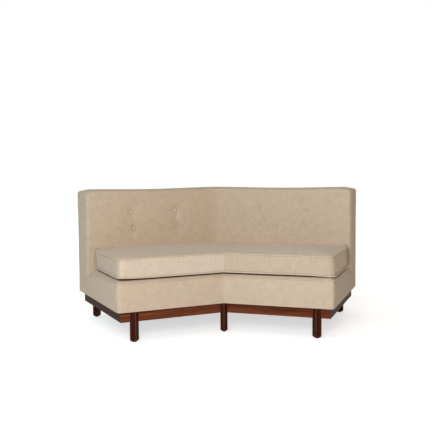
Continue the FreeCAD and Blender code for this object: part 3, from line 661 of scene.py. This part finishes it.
def back_swell(flat, points, name):
    """How far the inside back stands out, from its points before and after its edges were rounded."""
    foot = deck_low + LUMBAR_FOOT
    lumbar = 1 - ((flat[:, 2] - (foot + back_high) / 2) / ((back_high - foot) / 2)) ** 2
    from_bend = smooth(flat[:, 0], 0, NEAR_BEND)
    from_end = 1 - smooth(flat[:, 0], WING_LENGTH - NEAR_END, WING_LENGTH)
    swell = LUMBAR * np.clip(lumbar, 0, 1) * (1 + from_end) / 2 * (1 - BEND_HOLLOW * (1 - from_bend))
    along = mitred(points)[:, 0]
    thirds = np.abs(np.sin(np.pi * (along - panel_start) / panel_third))
    rising = smooth(flat[:, 2], deck_high + PILLOW_FOOT, button_rows[1])
    falling = 1 - smooth(flat[:, 2], button_rows[0], back_high - BACK_TOP_ROUND)
    swell += PILLOW * thirds * rising * falling * from_bend * from_end
    swell += bridged(flat[:, 0], BACK_FILL) - tuft_dent(along, points[:, 2], name)
    return swell - FOLD_DEPTH[name] * end_fold(flat[:, 0], flat[:, 2])


print("inside back up to", round(back_high, 3), "metres")

# %% Backs
BACK_STEP = 6 * MM
BACK_ROUND = 28 * MM
BACK_END_ROUND = 14 * MM
REAR_ROUND = 10 * MM
SEAM_BLEND = 0.03
TOP_DIP, TOP_RUN = 6 * MM, 0.150
CORNER_DROP, CORNER_RUN = 10 * MM, 0.050


def back_points(name):
    """The back of a wing in its plan, and its quads."""
    low = np.array([0, BACK_FACE, deck_low - TURNED_UNDER])
    high = np.array([WING_LENGTH, OVERALL_DEPTH, back_high])
    fine_low = (bridge_run(BACK_FILL), BACK_ROUND, 0)
    fine_high = (BACK_ROUND, REAR_ROUND, BACK_TOP_ROUND)
    axes = [ticks(low[a], high[a], BACK_STEP, fine_low[a], fine_high[a]) for a in range(3)]
    flat, faces = box_skin(axes)
    above_seat = smooth(flat[:, 2], deck_high - SEAM_BLEND, deck_high + SEAM_BLEND)
    round_low = np.zeros_like(flat)
    round_low[:, 1] = SEAM_ROUND + (BACK_ROUND - SEAM_ROUND) * above_seat
    round_high = np.tile([BACK_END_ROUND, REAR_ROUND, BACK_TOP_ROUND], (len(flat), 1))
    round_high[flat[:, 1] > (BACK_FACE + OVERALL_DEPTH) / 2, 0] = REAR_ROUND
    points = round_over(flat, low, high, round_low, round_high)
    on_front = smooth(-flat[:, 1], -BACK_FACE - BACK_ROUND, -BACK_FACE)
    points[:, 1] -= back_swell(flat, points, name) * on_front
    dip = TOP_DIP * np.sin(np.pi * flat[:, 0] / WING_LENGTH) ** 2
    drop = CORNER_DROP * smooth(flat[:, 0], WING_LENGTH - CORNER_RUN, WING_LENGTH)
    points[:, 2] -= (dip + drop) * smooth(flat[:, 2], back_high - TOP_RUN, back_high)
    return mitred(points), faces


for name, side in SIDES.items():
    plan, faces = back_points(name)
    piece = new_piece(f"upholstered_back_{name}", to_room(plan, side), faces, side)
    dress(piece, "sofa_frame", linen)
    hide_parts(f"back_cover_{name}", f"back_pad_{name}")
print("backs:", len(plan), "points each")

# %% [markdown]
# A covered button is a metal shell with a disc of cloth pressed over it: a low dome with a rounded rim. A
# profile turned about its axis gives that in one grid, set into the bottom of its dent. The left wing's
# buttons stand up further, and their cloth is the paler copy, a painted highlight.

# %% Covered buttons
BUTTON_RADIUS = 9 * MM
BUTTON_RISE = 7 * MM
BUTTON_SINK = {"left": -5 * MM, "right": 1 * MM}
# The left wing's buttons use the paler cloth, as a painted highlight.
BUTTON_CLOTH = {"left": painted_light_linen, "right": linen}
BUTTON_SPOKES = 28
BUTTON_RIM = ((1.0, -0.35), (1.03, -0.1), (1.0, 0.15), (0.92, 0.4))
BUTTON_DOME = ((0.78, 0.64), (0.55, 0.85), (0.28, 0.97), (0.06, 1.0))


def grid_quads(index):
    """Quads between the points of a grid of indices."""
    return np.stack([index[:-1, :-1], index[1:, :-1], index[1:, 1:], index[:-1, 1:]], -1).reshape(-1, 4)


def joined(parts):
    """The points and quads of several meshes, as those of one."""
    starts = np.cumsum([0] + [len(points) for points, quads in parts])
    faces = [quads + start for (points, quads), start in zip(parts, starts)]
    return np.concatenate([points for points, quads in parts]), np.concatenate(faces)


def button(column, row, name):
    """A button's points in a wing's plan and its quads, facing the sitter from the bottom of its dent."""
    turn = np.linspace(0, 2 * np.pi, BUTTON_SPOKES, endpoint=False)
    seat = BACK_FACE + TUFT_DEPTH[name] - LUMBAR + BUTTON_SINK[name]
    rings = []
    for reach, rise in BUTTON_RIM + BUTTON_DOME:
        along = column + BUTTON_RADIUS * reach * np.cos(turn)
        height = row + BUTTON_RADIUS * reach * np.sin(turn)
        rings.append(np.stack([along, np.full_like(turn, seat - BUTTON_RISE * rise), height], 1))
    index = np.arange(len(rings) * BUTTON_SPOKES).reshape(-1, BUTTON_SPOKES)
    return np.concatenate(rings), grid_quads(np.concatenate([index, index[:, :1]], 1).T)


for name, side in SIDES.items():
    domes = [button(column, row, name) for pair in button_pairs(name) for column, row in pair]
    plan, faces = joined(domes)
    piece = new_piece(f"tuft_buttons_{name}", to_room(plan, side), faces, side)
    dress(piece, "sofa_frame", BUTTON_CLOTH[name])
    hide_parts(f"back_buttons_{name}")
print("buttons:", len(domes), "a wing")

# %% [markdown]
# ## The loose cushion
# One bent cushion lies over both wings: a foam core in a boxed cover, its top and bottom panels joined
# to an upright band by piped seams. Its plan is filled with a grid stretched between four edges, with
# rounder corners at the rear ends.

# %% Grids between four edges
ARC_POINTS = 12


def resampled(path, count):
    """Points spaced evenly along a path."""
    path = np.asarray(path)
    run = np.concatenate([[0], np.cumsum(np.linalg.norm(np.diff(path, axis=0), axis=1))])
    spots = np.linspace(0, run[-1], count)
    return np.stack([np.interp(spots, run, path[:, axis]) for axis in range(2)], 1)


def corner_arc(centre, reach, start, stop):
    """Points on a rounded corner, between two angles in degrees."""
    turn = np.radians(np.linspace(start, stop, ARC_POINTS))
    return np.stack([centre[0] + reach[0] * np.cos(turn), centre[1] + reach[1] * np.sin(turn)], 1)


def stretched_grid(front, rear, end):
    """A grid between three edges and a straight one at the bend, and its shares along and to the rear."""
    bend = resampled([front[0], rear[0]], len(end))
    s = np.linspace(0, 1, len(front))[:, None, None]
    t = np.linspace(0, 1, len(end))[None, :, None]
    across = (1 - t) * front[:, None] + t * rear[:, None]
    down = (1 - s) * bend[None] + s * end[None]
    corners = (1 - s) * ((1 - t) * front[0] + t * rear[0]) + s * ((1 - t) * front[-1] + t * rear[-1])
    return across + down - corners, s, t


# %% The cushion's plan
CUSHION_FRONT, CUSHION_GAP = 2 * MM, 7 * MM
CUSHION_REAR = BACK_FACE - CUSHION_GAP
FRONT_CORNER = 32 * MM
REAR_CORNER_ALONG, REAR_CORNER_DEPTH = 0.090, 0.200
ALONG_COUNT, DEPTH_COUNT = 64, 56
DRAWN_IN = 3 * MM


def cushion_plan():
    """A wing's cushion seen from above: a grid of (along, depth), bend to end and front to rear."""
    front_centre = (WING_LENGTH - FRONT_CORNER, CUSHION_FRONT + FRONT_CORNER)
    rear_centre = (WING_LENGTH - REAR_CORNER_ALONG, CUSHION_REAR - REAR_CORNER_DEPTH)
    front_reach = (FRONT_CORNER, FRONT_CORNER)
    rear_reach = (REAR_CORNER_ALONG, REAR_CORNER_DEPTH)
    front_bend = [-CUSHION_FRONT * SLOPE, CUSHION_FRONT]
    rear_bend = [-CUSHION_REAR * SLOPE, CUSHION_REAR]
    front = resampled([front_bend, *corner_arc(front_centre, front_reach, -90, -45)], ALONG_COUNT + 1)
    rear = resampled([rear_bend, *corner_arc(rear_centre, rear_reach, 90, 45)], ALONG_COUNT + 1)
    end = resampled(
        [*corner_arc(front_centre, front_reach, -45, 0), *corner_arc(rear_centre, rear_reach, 0, 45)],
        DEPTH_COUNT + 1,
    )
    grid, _, t = stretched_grid(front, rear, end)
    grid[..., 1] += DRAWN_IN * np.sin(np.pi * np.clip(grid[..., 0] / WING_LENGTH, 0, 1)) * (1 - t[..., 0])
    return grid


wing_plan = cushion_plan()
print("cushion plan of a wing:", wing_plan.shape[0], "by", wing_plan.shape[1], "points")

# %% [markdown]
# A cushion that is sat on shifts in its cover. The left end is drawn in, more at the rear than at the
# front, and each wing's front and end bands lean by their own amounts, so the seam at the top lies a
# little inside or outside the seam at the bottom.

# %% The cushion's top and underside, over both wings
FRONT_LEAN = {"left": 13 * MM, "right": -4 * MM}
END_LEAN = {"left": (7 * MM, -13 * MM), "right": (7 * MM, 7 * MM)}
END_IN = {"left": (5 * MM, 20 * MM), "right": (0.0, 0.0)}
LEAN_RUN = 0.150


def settled(plan, name, lean):
    """A wing's plan with its end drawn in, and its front and end edges set back where the band leans."""
    moved = plan.copy()
    to_front = 1 - smooth(plan[..., 1], CUSHION_FRONT, LEAN_RUN)
    to_end = smooth(plan[..., 0], WING_LENGTH - LEAN_RUN, WING_LENGTH)
    moved[..., 1] += lean * FRONT_LEAN[name] * to_front * smooth(plan[..., 0], 0, LEAN_RUN)
    to_rear = np.clip(plan[..., 1] / CUSHION_REAR, 0, 1)
    drawn, leant = (a * (1 - to_rear) + b * to_rear for a, b in (END_IN[name], END_LEAN[name]))
    moved[..., 0] -= (drawn + lean * leant) * to_end
    return moved


def both_wings(lean):
    """The settled plans of the left and the right wing, as one level grid in the room."""
    rooms = {}
    for name, side in SIDES.items():
        grid = settled(wing_plan, name, lean)
        flat = np.concatenate([grid.reshape(-1, 2), np.zeros((grid[..., 0].size, 1))], 1)
        rooms[name] = to_room(flat, side).reshape(*grid.shape[:2], 3)
    return np.concatenate([rooms["left"][:0:-1], rooms["right"]])


cushion_top, cushion_under = both_wings(lean=1), both_wings(lean=0)
along, depth = np.concatenate([wing_plan[:0:-1], wing_plan]).reshape(-1, 2).T
rows, columns = cushion_top.shape[:2]
print("cushion grid:", rows, "by", columns)

# %% [markdown]
# The top panel is crowned, most over its open front and ends and least along the back, and a little hollow
# at the bend. The underside lies on the deck and lifts at its seam. Both panels get a height from how far
# each point lies from the edge, and the band is a ladder of levels between the two rims.

# %% Give the panels their heights
SEAM_LIFT, SEAM_LIFT_RUN = 12.5 * MM, 65 * MM
END_LIFT = {"left": 17 * MM, "right": 8 * MM}
CROWN, CROWN_RUN, CROWN_FALL = 54 * MM, 0.150, 51 * MM
BEND_SAG, BEND_SAG_RUN = 7 * MM, 0.250


def rim_of(index):
    """The indices round the edge of a grid, in order."""
    return np.concatenate([index[:-1, 0], index[-1, :-1], index[:0:-1, -1], index[0, :0:-1]])


def distance_from(edge, grid):
    """How far each point of a grid is from its nearest point on an edge, in plan."""
    flat = grid.reshape(-1, 3)[:, :2]
    return np.array([np.min(np.hypot(*(flat[edge] - point).T)) for point in flat])


top_index = np.arange(rows * columns).reshape(rows, columns)
top_rim = rim_of(top_index)
open_rim = np.concatenate([top_index[:, 0], top_index[0], top_index[-1]])
inside = distance_from(top_rim, cushion_top)
from_open = distance_from(open_rim, cushion_top)
crown = (CROWN - CROWN_FALL * depth / CUSHION_REAR) * (1 - np.exp(-from_open / CROWN_RUN))
top_points = cushion_top.reshape(-1, 3).copy()
top_points[:, 2] = cushion_low + SEAM_HIGH + crown
top_points[:, 2] -= BEND_SAG * (1 - smooth(along, 0, BEND_SAG_RUN)) * smooth(from_open, 0, LEAN_RUN)
low_points = cushion_under.reshape(-1, 3).copy()
end_lift = np.where(low_points[:, 0] < 0, END_LIFT["left"], END_LIFT["right"])
lift = SEAM_LIFT + (end_lift - SEAM_LIFT) * smooth(along, WING_LENGTH - LEAN_RUN, WING_LENGTH)
low_points[:, 2] = cushion_low + lift * (1 - smooth(inside, 0, SEAM_LIFT_RUN)) - rim_sag(along)
print("crown of", round(float(crown.max()) / MM, 1), "mm")

# %% Close the cushion with its band
BAND_COUNT = 9

low_index = top_index + top_index.size
low_rim = rim_of(low_index)
band_index = [low_rim]
band_points = []
for step in range(1, BAND_COUNT):
    share = step / BAND_COUNT
    band_index.append(2 * top_index.size + len(band_points) * len(top_rim) + np.arange(len(top_rim)))
    band_points.append(low_points[top_rim] * (1 - share) + top_points[top_rim] * share)
band_index.append(top_rim)
band_grid = np.array([np.append(level, level[0]) for level in band_index]).T
cushion_points = np.concatenate([top_points, low_points, *band_points])
panel_quads = grid_quads(top_index)
cushion_faces = np.concatenate([panel_quads, grid_quads(low_index)[:, ::-1], grid_quads(band_grid)])
cushion = new_piece("seat_cushion_cover", cushion_points, cushion_faces)
print("cushion:", len(cushion_points), "points")

# %% [markdown]
# A cloth simulation then blows the cover up while the seams and the underside are held, which rounds the
# top and the band as stuffing does. How far a point may go is capped, and the result is kept as the mesh.

# %% Blow the cushion up
PUFF_FRAMES = 20
PUFF_PRESSURE = 4.0
PUFF_QUALITY = 5
TOP_CAP, BAND_CAP = 5 * MM, 3 * MM


def puffed(piece, held, cap):
    """Points of a cloth form blown up from inside, while held points stay and none goes past its cap."""
    rest = values_of(piece.data.vertices, "co", 3).astype(float)
    group = piece.vertex_groups.new(name="held")
    group.add([int(point) for point in held], 1.0, "REPLACE")
    cloth = piece.modifiers.new("puff", "CLOTH")
    cloth.settings.quality = PUFF_QUALITY
    cloth.settings.use_pressure = True
    cloth.settings.uniform_pressure_force = PUFF_PRESSURE
    cloth.settings.effector_weights.gravity = 0
    cloth.settings.vertex_group_mass = group.name
    cloth.point_cache.frame_end = PUFF_FRAMES
    scene = bpy.context.scene
    for step in range(1, PUFF_FRAMES + 1):
        scene.frame_set(step)
    shown = piece.evaluated_get(bpy.context.evaluated_depsgraph_get())
    moved = values_of(shown.data.vertices, "co", 3).astype(float) - rest
    piece.modifiers.remove(cloth)
    piece.vertex_groups.remove(group)
    scene.frame_set(1)
    far = np.linalg.norm(moved, axis=1)
    return rest + moved * np.minimum(1, cap / np.maximum(far, TINY))[:, None], far


caps = np.full(len(cushion_points), BAND_CAP)
caps[:top_index.size] = TOP_CAP * smooth(CUSHION_REAR - depth, 0, LEAN_RUN)
held = np.unique(np.concatenate([low_index.ravel(), top_rim]))
cushion_points, far = puffed(cushion, held, caps)
cushion.data.vertices.foreach_set("co", cushion_points.astype(np.float32).ravel())
cushion.data.update()
print("the free cloth would go", round(far.max() / MM, 1), "mm at most")

# %% Dress the cushion
PAINTED_LIGHT_BAND, PAINTED_SHADE_BAND = 1, 2
band_start = 2 * len(panel_quads)
half_front = (rows // 2) * BAND_COUNT
left_end = (columns - 1) * BAND_COUNT
# The left front band gets the paler cloth as painted light, and the right front and left end bands the
# darker cloth as painted shade.
cloth_of = np.zeros(len(cushion_faces), np.int32)
cloth_of[band_start:band_start + half_front] = PAINTED_LIGHT_BAND
cloth_of[band_start + half_front:band_start + 2 * half_front] = PAINTED_SHADE_BAND
cloth_of[-left_end:] = PAINTED_SHADE_BAND
dress(cushion, "seat_cushion", cushion_linen, painted_light_linen, painted_shade_linen)
cushion.data.polygons.foreach_set("material_index", cloth_of)
finer = cushion.modifiers.new("finer", "SUBSURF")
finer.levels = finer.render_levels = 1
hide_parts("cushion_cover_left", "cushion_cover_right", "cushion_core")
print("cushion bands of", len(cushion_faces) - band_start, "quads")

# %% [markdown]
# The piping is a thin cord in a bias strip of the same cloth, sewn into both seams of the cushion. A
# bevelled curve would do, but a tube swept along the rim of the blown-up cover is a mesh at once and can
# stand proud of the seam. The seat box has one such cord too, along its top edge, from the back round the
# front to the back again.

# %% Piping of the cushion
PIPE_RADIUS = 3.6 * MM
PIPE_PROUD = 3.0 * MM
PIPE_SPOKES = 8


def piped(seam, closed):
    """A tube along a seam, standing a little proud of it, and its quads."""
    before, after = np.roll(seam, 1, 0), np.roll(seam, -1, 0)
    if not closed:
        before[0], after[-1] = seam[0], seam[-1]
    ahead = after - before
    ahead /= np.linalg.norm(ahead, axis=1, keepdims=True)
    out = np.cross(ahead, np.array([0, 0, 1.0]))
    out /= np.linalg.norm(out, axis=1, keepdims=True)
    up = np.cross(out, ahead)
    turn = np.linspace(0, 2 * np.pi, PIPE_SPOKES, endpoint=False)
    rings = [seam + PIPE_PROUD * out + PIPE_RADIUS * (math.cos(t) * out + math.sin(t) * up) for t in turn]
    index = np.arange(PIPE_SPOKES * len(seam)).reshape(PIPE_SPOKES, -1)
    index = np.concatenate([index, index[:1]])
    if closed:
        index = np.concatenate([index, index[:, :1]], 1)
    return np.concatenate(rings), grid_quads(index)[:, ::-1]


tubes = joined([piped(cushion_points[rim], True) for rim in (top_rim, low_rim)])
piping = new_piece("cushion_piping", *tubes)
dress(piping, "seat_cushion", cushion_linen)
print("piping round", len(top_rim), "points, twice")

# %% Piping of the seat box
WELT_DROP = 13 * MM
WELT_STEP = 6 * MM

welt_front = ticks(0, WING_LENGTH, WELT_STEP, bridge_run(SEAT_FILL), SEAT_CORNER)
welt_end = ticks(0, BACK_FACE, WELT_STEP, SEAT_ROUND)[1:]
welt_flat = np.full((len(welt_front) + len(welt_end), 3), deck_high - WELT_DROP)
welt_flat[:, 0] = np.append(welt_front, np.full_like(welt_end, WING_LENGTH))
welt_flat[:, 1] = np.append(np.zeros_like(welt_front), welt_end)
welt_plan = covered_seat(welt_flat)
welt_seam = np.concatenate([to_room(welt_plan, SIDES["left"])[:0:-1], to_room(welt_plan, SIDES["right"])])
welt = new_piece("seat_piping", *piped(welt_seam, False))
dress(welt, "sofa_frame", linen)
print("seat piping of", len(welt_plan), "points a wing")

# %% [markdown]
# Under the seat a thin black cloth keeps the dust in. It is stapled to the frame between the base rails,
# cut off at the corner blocks, and sags a little. So light a cloth hangs in a plain curve, which a formula
# gives as well as a simulation would.

# %% Dust covers
dust_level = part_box("dust_cover_right")[0].z
DUST_SAG = 5 * MM
DUST_THICK = 0.6 * MM
RAIL_THICK, RAIL_INSET, BACK_RAIL_INSET = 0.038, 0.019, 0.057
BLOCK_LEG = 0.028
HALF_CENTRE_RAIL = 0.018
DUST_COUNT = 40
dust_front = RAIL_INSET + RAIL_THICK
dust_rear = OVERALL_DEPTH - BACK_RAIL_INSET - RAIL_THICK
dust_end = WING_LENGTH - RAIL_INSET - RAIL_THICK
black_cloth = speckled_material("black_dust_cloth", "#161616", "#2A2A2A", JUTE_THREAD, roughness=0.95)


def dust_edge(depth):
    """A long edge of a wing's dust cover at a depth, from the middle rail to the cut corner."""
    beside_centre = (HALF_CENTRE_RAIL - depth * math.sin(BEND)) / math.cos(BEND)
    return resampled([(beside_centre, depth), (dust_end - BLOCK_LEG, depth)], DUST_COUNT + 1)


def dust_points():
    """The dust cover of a wing: a grid between the rails, its outer corners cut off."""
    front, rear = dust_edge(dust_front), dust_edge(dust_rear)
    cut_corners = [(dust_end, dust_front + BLOCK_LEG), (dust_end, dust_rear - BLOCK_LEG)]
    end = resampled([front[-1], *cut_corners, rear[-1]], DUST_COUNT + 1)
    grid, s, t = stretched_grid(front, rear, end)
    sag = DUST_SAG * np.sin(np.pi * s) * np.sin(np.pi * t)
    return np.concatenate([grid, dust_level - sag], 2).reshape(-1, 3)


plan = dust_points()
faces = grid_quads(np.arange(len(plan)).reshape(DUST_COUNT + 1, -1))
corners = plan[faces]
for name, side in SIDES.items():
    piece = new_piece(f"dust_cloth_{name}", to_room(plan, side), faces, side)
    piece.data.materials.append(black_cloth)
    thick = piece.modifiers.new("cloth", "SOLIDIFY")
    thick.thickness = DUST_THICK
    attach(piece, "sofa_frame")
    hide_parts(f"dust_cover_{name}")

# %% [markdown]
# ## Studio
# The photograph has a seamless white floor, a softbox near the camera, and more light from the left than
# from the right. A world with a bright cool side and a dim warm one lights all round, one lamp gives the
# form, and rays from the camera see plain white. The floor keeps the sofa's shadow.

# %% Background rays
WHITE = "#FFFFFF"


def sees_background(tree):
    """1 for rays that should see the plain white background."""
    rays = add(tree, "LightPath").outputs
    seen = rays["Is Camera Ray"]
    for kind in ("Is Glossy Ray", "Is Transmission Ray"):
        seen = add(tree, "Math", {0: seen, 1: rays[kind]}, operation="MAXIMUM").outputs[0]
    return seen


# %% Floor
FLOOR_HALF = 12.0
FLOOR_LIFT = 0.61
SHADOW_REACH, WHITE_REACH = 1.2, 2.4

corners = np.array([(-1, -1, 0), (1, -1, 0), (1, 1, 0), (-1, 1, 0)], float) * FLOOR_HALF
floor = new_piece("studio_floor", corners, np.array([(0, 1, 2, 3)]))
material, tree, shader = new_material("white_studio_floor")
place = add(tree, "NewGeometry").outputs["Position"]
away = add(tree, "VectorMath", {0: place}, operation="LENGTH").outputs["Value"]
level = add(
    tree,
    "MapRange",
    {"Value": away, "From Min": SHADOW_REACH, "From Max": WHITE_REACH, "To Min": FLOOR_LIFT, "To Max": 1.0},
).outputs["Result"]
glow = add(tree, "Math", {0: sees_background(tree), 1: level}, operation="MULTIPLY")
fill(shader, {"Base Color": linear("#F4F4F4"), "Roughness": 0.9, "Specular IOR Level": 0.0})
fill(shader, {"Emission Color": linear(WHITE), "Emission Strength": glow.outputs[0]})
floor.data.materials.append(material)
print("floor of", 2 * FLOOR_HALF, "metres")

# %% World
WORLD_LEVEL = 0.8
COOL_SIDE, WARM_SIDE = "#D9E8F1", "#987A4C"

world = bpy.data.worlds.new("white_studio")
bpy.context.scene.world = world
world.use_nodes = True
tree = world.node_tree
background = sees_background(tree)
level = add(tree, "MapRange", {"Value": background, "To Min": WORLD_LEVEL, "To Max": 1.0})
place = add(tree, "TexCoord").outputs["Generated"]
across = add(tree, "SeparateXYZ", {"Vector": place}).outputs["X"]
to_right = add(tree, "MapRange", {"Value": across, "From Min": -1.0})
sides = add(tree, "ValToRGB", {"Fac": to_right.outputs["Result"]})
sides.color_ramp.elements[0].color = linear(COOL_SIDE)
sides.color_ramp.elements[1].color = linear(WARM_SIDE)
shown = {"Factor": background, "A": sides.outputs["Color"], "B": linear(WHITE)}
sky = add(tree, "Mix", shown, data_type="RGBA").outputs["Result"]
fill(tree.nodes["Background"], {"Color": sky, "Strength": level.outputs["Result"]})
print("world at", WORLD_LEVEL)

# %% Lamp
SOFTBOX_PLACE = Vector((-0.5, -3.4, 1.4))
SOFTBOX_AIM = Vector((0, 0, 0.4))
SOFTBOX_SIZE = (1.6, 1.2)
SOFTBOX_POWER = 57

softbox = bpy.data.lights.new("front_softbox", "AREA")
softbox.shape = "RECTANGLE"
softbox.size, softbox.size_y = SOFTBOX_SIZE
softbox.energy = SOFTBOX_POWER
holder = bpy.data.objects.new("front_softbox", softbox)
holder.location = SOFTBOX_PLACE
holder.rotation_euler = (SOFTBOX_AIM - SOFTBOX_PLACE).to_track_quat("-Z", "Y").to_euler()
holder.visible_camera = False
bpy.context.scene.collection.objects.link(holder)
bpy.context.scene.view_settings.view_transform = "Standard"
print("softbox of", SOFTBOX_POWER, "watts")

# %% [markdown]
# ## Camera
# The photograph was taken from a little under four metres, slightly left of the bend and just above the
# top of the back. The view was found by fitting the sofa's corners to the photograph.

# %% Camera
PHOTO_SIDE = 432
FOCAL_PIXELS = 694.47
SENSOR_WIDTH = 36.0
CAMERA_ASIDE, CAMERA_AHEAD, CAMERA_HEIGHT = -0.2315, 3.742, 0.8829
PITCH_DOWN, YAW_RIGHT, ROLL = (math.radians(angle) for angle in (3.765, 2.935, -0.472))

camera_data = bpy.data.cameras.new("photo_view")
camera_data.sensor_width = SENSOR_WIDTH
camera_data.lens = SENSOR_WIDTH * FOCAL_PIXELS / PHOTO_SIDE
camera = bpy.data.objects.new("photo_view", camera_data)
level_view = Euler((QUARTER - PITCH_DOWN, 0, -YAW_RIGHT)).to_matrix()
camera.rotation_euler = (level_view @ Matrix.Rotation(ROLL, 3, "Z")).to_euler()
camera.location = (CAMERA_ASIDE, bend_front - CAMERA_AHEAD, CAMERA_HEIGHT)
bpy.context.scene.collection.objects.link(camera)
bpy.context.scene.camera = camera
print("lens of", round(camera_data.lens, 2), "mm")
